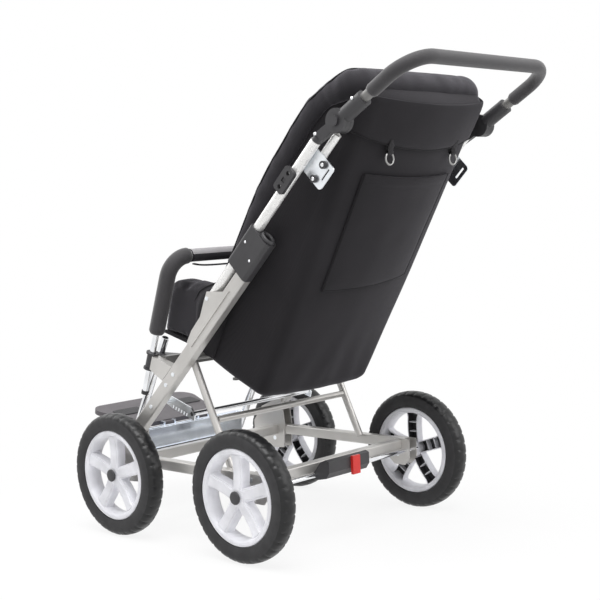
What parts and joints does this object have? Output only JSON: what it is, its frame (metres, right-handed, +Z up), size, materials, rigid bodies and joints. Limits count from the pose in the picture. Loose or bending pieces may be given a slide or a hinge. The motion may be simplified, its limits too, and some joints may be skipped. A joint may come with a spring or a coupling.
{
  "type": "special needs stroller",
  "caption": "Folding push chair with a padded bucket seat, leaning back, padded bumper bar, tilting push handle and a drop footrest on a wheeled tube frame.",
  "frame": {"origin": "on the ground, under the middle of the overall length and width", "axes": "+Z up, -Y the way the seat faces, +X the seated child's left"},
  "size_m": [0.679, 1.2154, 1.0832],
  "materials": {
    "frame_paint": "semi-matt light warm grey powder coat",
    "zinc_plate": "bright zinc plate",
    "bright_chrome": "polished chrome",
    "polished_aluminium": "polished extrusion",
    "dark_plastic": "moulded dark grey",
    "footplate_plastic": "moulded mid grey",
    "rim_plastic": "moulded light grey",
    "tyre_rubber": "matt dark grey",
    "grip_foam": "matt speckled foam",
    "black_cloth": "fine woven black cloth",
    "red_tab": "moulded red"
  },
  "bodies": {
    "chassis": {"main_tubes": "frame_paint", "side_rails": "frame_paint", "front_cross_tube": "frame_paint", "rear_cross_tube": "frame_paint", "braces": "frame_paint", "front_wheel_brackets": "zinc_plate", "rear_wheel_brackets": "zinc_plate", "gusset_plates": "zinc_plate", "frame_rivets": "zinc_plate", "wheel_axles": "zinc_plate", "axle_caps": "dark_plastic", "front_arms": "zinc_plate", "bumper_clamps": "dark_plastic", "hanger_clamps": "dark_plastic", "seat_cross_tubes": "frame_paint", "seat_board": "dark_plastic", "seat_cushion": "black_cloth", "seat_wings": "black_cloth", "lower_back_pad": "black_cloth", "seat_cover": "black_cloth"},
    "wheel_front_left": {"tyre_front_left": "tyre_rubber", "rim_front_left": "rim_plastic"},
    "wheel_front_right": {"tyre_front_right": "tyre_rubber", "rim_front_right": "rim_plastic"},
    "wheel_rear_left": {"tyre_rear_left": "tyre_rubber", "rim_rear_left": "rim_plastic"},
    "wheel_rear_right": {"tyre_rear_right": "tyre_rubber", "rim_rear_right": "rim_plastic"},
    "push_frame": {"upper_tubes": "frame_paint", "back_tubes": "frame_paint", "recline_plates": "zinc_plate", "plate_knobs": "dark_plastic", "accessory_clips": "dark_plastic", "hinge_knuckles": "dark_plastic", "back_pad": "black_cloth", "back_wings": "black_cloth", "back_cover": "black_cloth", "top_flap": "black_cloth", "back_pocket": "black_cloth"},
    "rings": {"d_rings": "bright_chrome"},
    "lock_left": {"lock_sleeve_left": "dark_plastic"},
    "lock_right": {"lock_sleeve_right": "dark_plastic"},
    "handle": {"handle_bar": "frame_paint", "handle_grip": "grip_foam", "handle_sockets": "dark_plastic"},
    "button_left": {"hinge_button_left": "dark_plastic"},
    "button_right": {"hinge_button_right": "dark_plastic"},
    "bumper": {"bumper_bar": "bright_chrome", "bumper_foam": "grip_foam", "bumper_caps": "dark_plastic"},
    "footrest": {"hanger_tubes": "bright_chrome", "footrest_beam": "polished_aluminium", "beam_strip": "dark_plastic"},
    "footplate": {"footplate": "footplate_plastic", "foot_straps": "grip_foam"},
    "rack": {"tilt_rack": "zinc_plate", "rack_rod": "bright_chrome"},
    "brake": {"brake_rod": "bright_chrome", "brake_pedal": "dark_plastic", "brake_tab": "red_tab"}
  },
  "joints": [
    {"name": "spin_front_left", "type": "hinge", "parent": "chassis", "child": "wheel_front_left", "pos_m": [0.3125, -0.3105, 0.15], "axis": [1, 0, 0], "continuous": true},
    {"name": "spin_front_right", "type": "hinge", "parent": "chassis", "child": "wheel_front_right", "pos_m": [-0.3125, -0.3105, 0.15], "axis": [1, 0, 0], "continuous": true},
    {"name": "spin_rear_left", "type": "hinge", "parent": "chassis", "child": "wheel_rear_left", "pos_m": [0.3125, 0.1245, 0.15], "axis": [1, 0, 0], "continuous": true},
    {"name": "spin_rear_right", "type": "hinge", "parent": "chassis", "child": "wheel_rear_right", "pos_m": [-0.3125, 0.1245, 0.15], "axis": [1, 0, 0], "continuous": true},
    {"name": "frame_fold", "type": "hinge", "parent": "chassis", "child": "push_frame", "pos_m": [0, -0.0094, 0.5833], "axis": [1, 0, 0], "range_deg": [0, 62]},
    {"name": "handle_tilt", "type": "hinge", "parent": "push_frame", "child": "handle", "pos_m": [0, 0.4015, 0.955], "axis": [1, 0, 0], "range_deg": [-80, 55]},
    {"name": "button_press_left", "type": "slide", "parent": "handle", "child": "button_left", "axis": [-1, 0, 0], "range_m": [0, 0.0035], "stiffness_N_per_m": 800},
    {"name": "button_press_right", "type": "slide", "parent": "handle", "child": "button_right", "axis": [1, 0, 0], "range_m": [0, 0.0035], "stiffness_N_per_m": 800},
    {"name": "lock_slide_left", "type": "slide", "parent": "push_frame", "child": "lock_left", "axis": [0, 0.7157, 0.6984], "range_m": [0, 0.045]},
    {"name": "lock_slide_right", "type": "slide", "parent": "push_frame", "child": "lock_right", "axis": [0, 0.7157, 0.6984], "range_m": [0, 0.045]},
    {"name": "ring_swing", "type": "hinge", "parent": "push_frame", "child": "rings", "pos_m": [0, 0.41667, 0.89012], "axis": [1, 0, 0], "range_deg": [-15, 45]},
    {"name": "brake_press", "type": "hinge", "parent": "chassis", "child": "brake", "pos_m": [0, 0.15, 0.16], "axis": [1, 0, 0], "range_deg": [-12, 0]},
    {"name": "footrest_slide", "type": "slide", "parent": "chassis", "child": "footrest", "axis": [0, -0.4741, -0.8805], "range_m": [0, 0.05]},
    {"name": "footplate_flip", "type": "hinge", "parent": "footrest", "child": "footplate", "pos_m": [0, -0.413, 0.229], "axis": [-1, 0, 0], "range_deg": [0, 65]},
    {"name": "bumper_slide", "type": "slide", "parent": "chassis", "child": "bumper", "axis": [0, 0.3486, 0.9373], "range_m": [-0.02, 0.03]},
    {"name": "rack_lift", "type": "hinge", "parent": "chassis", "child": "rack", "pos_m": [0, -0.227, 0.322], "axis": [1, 0, 0], "range_deg": [0, 20]}
  ]
}
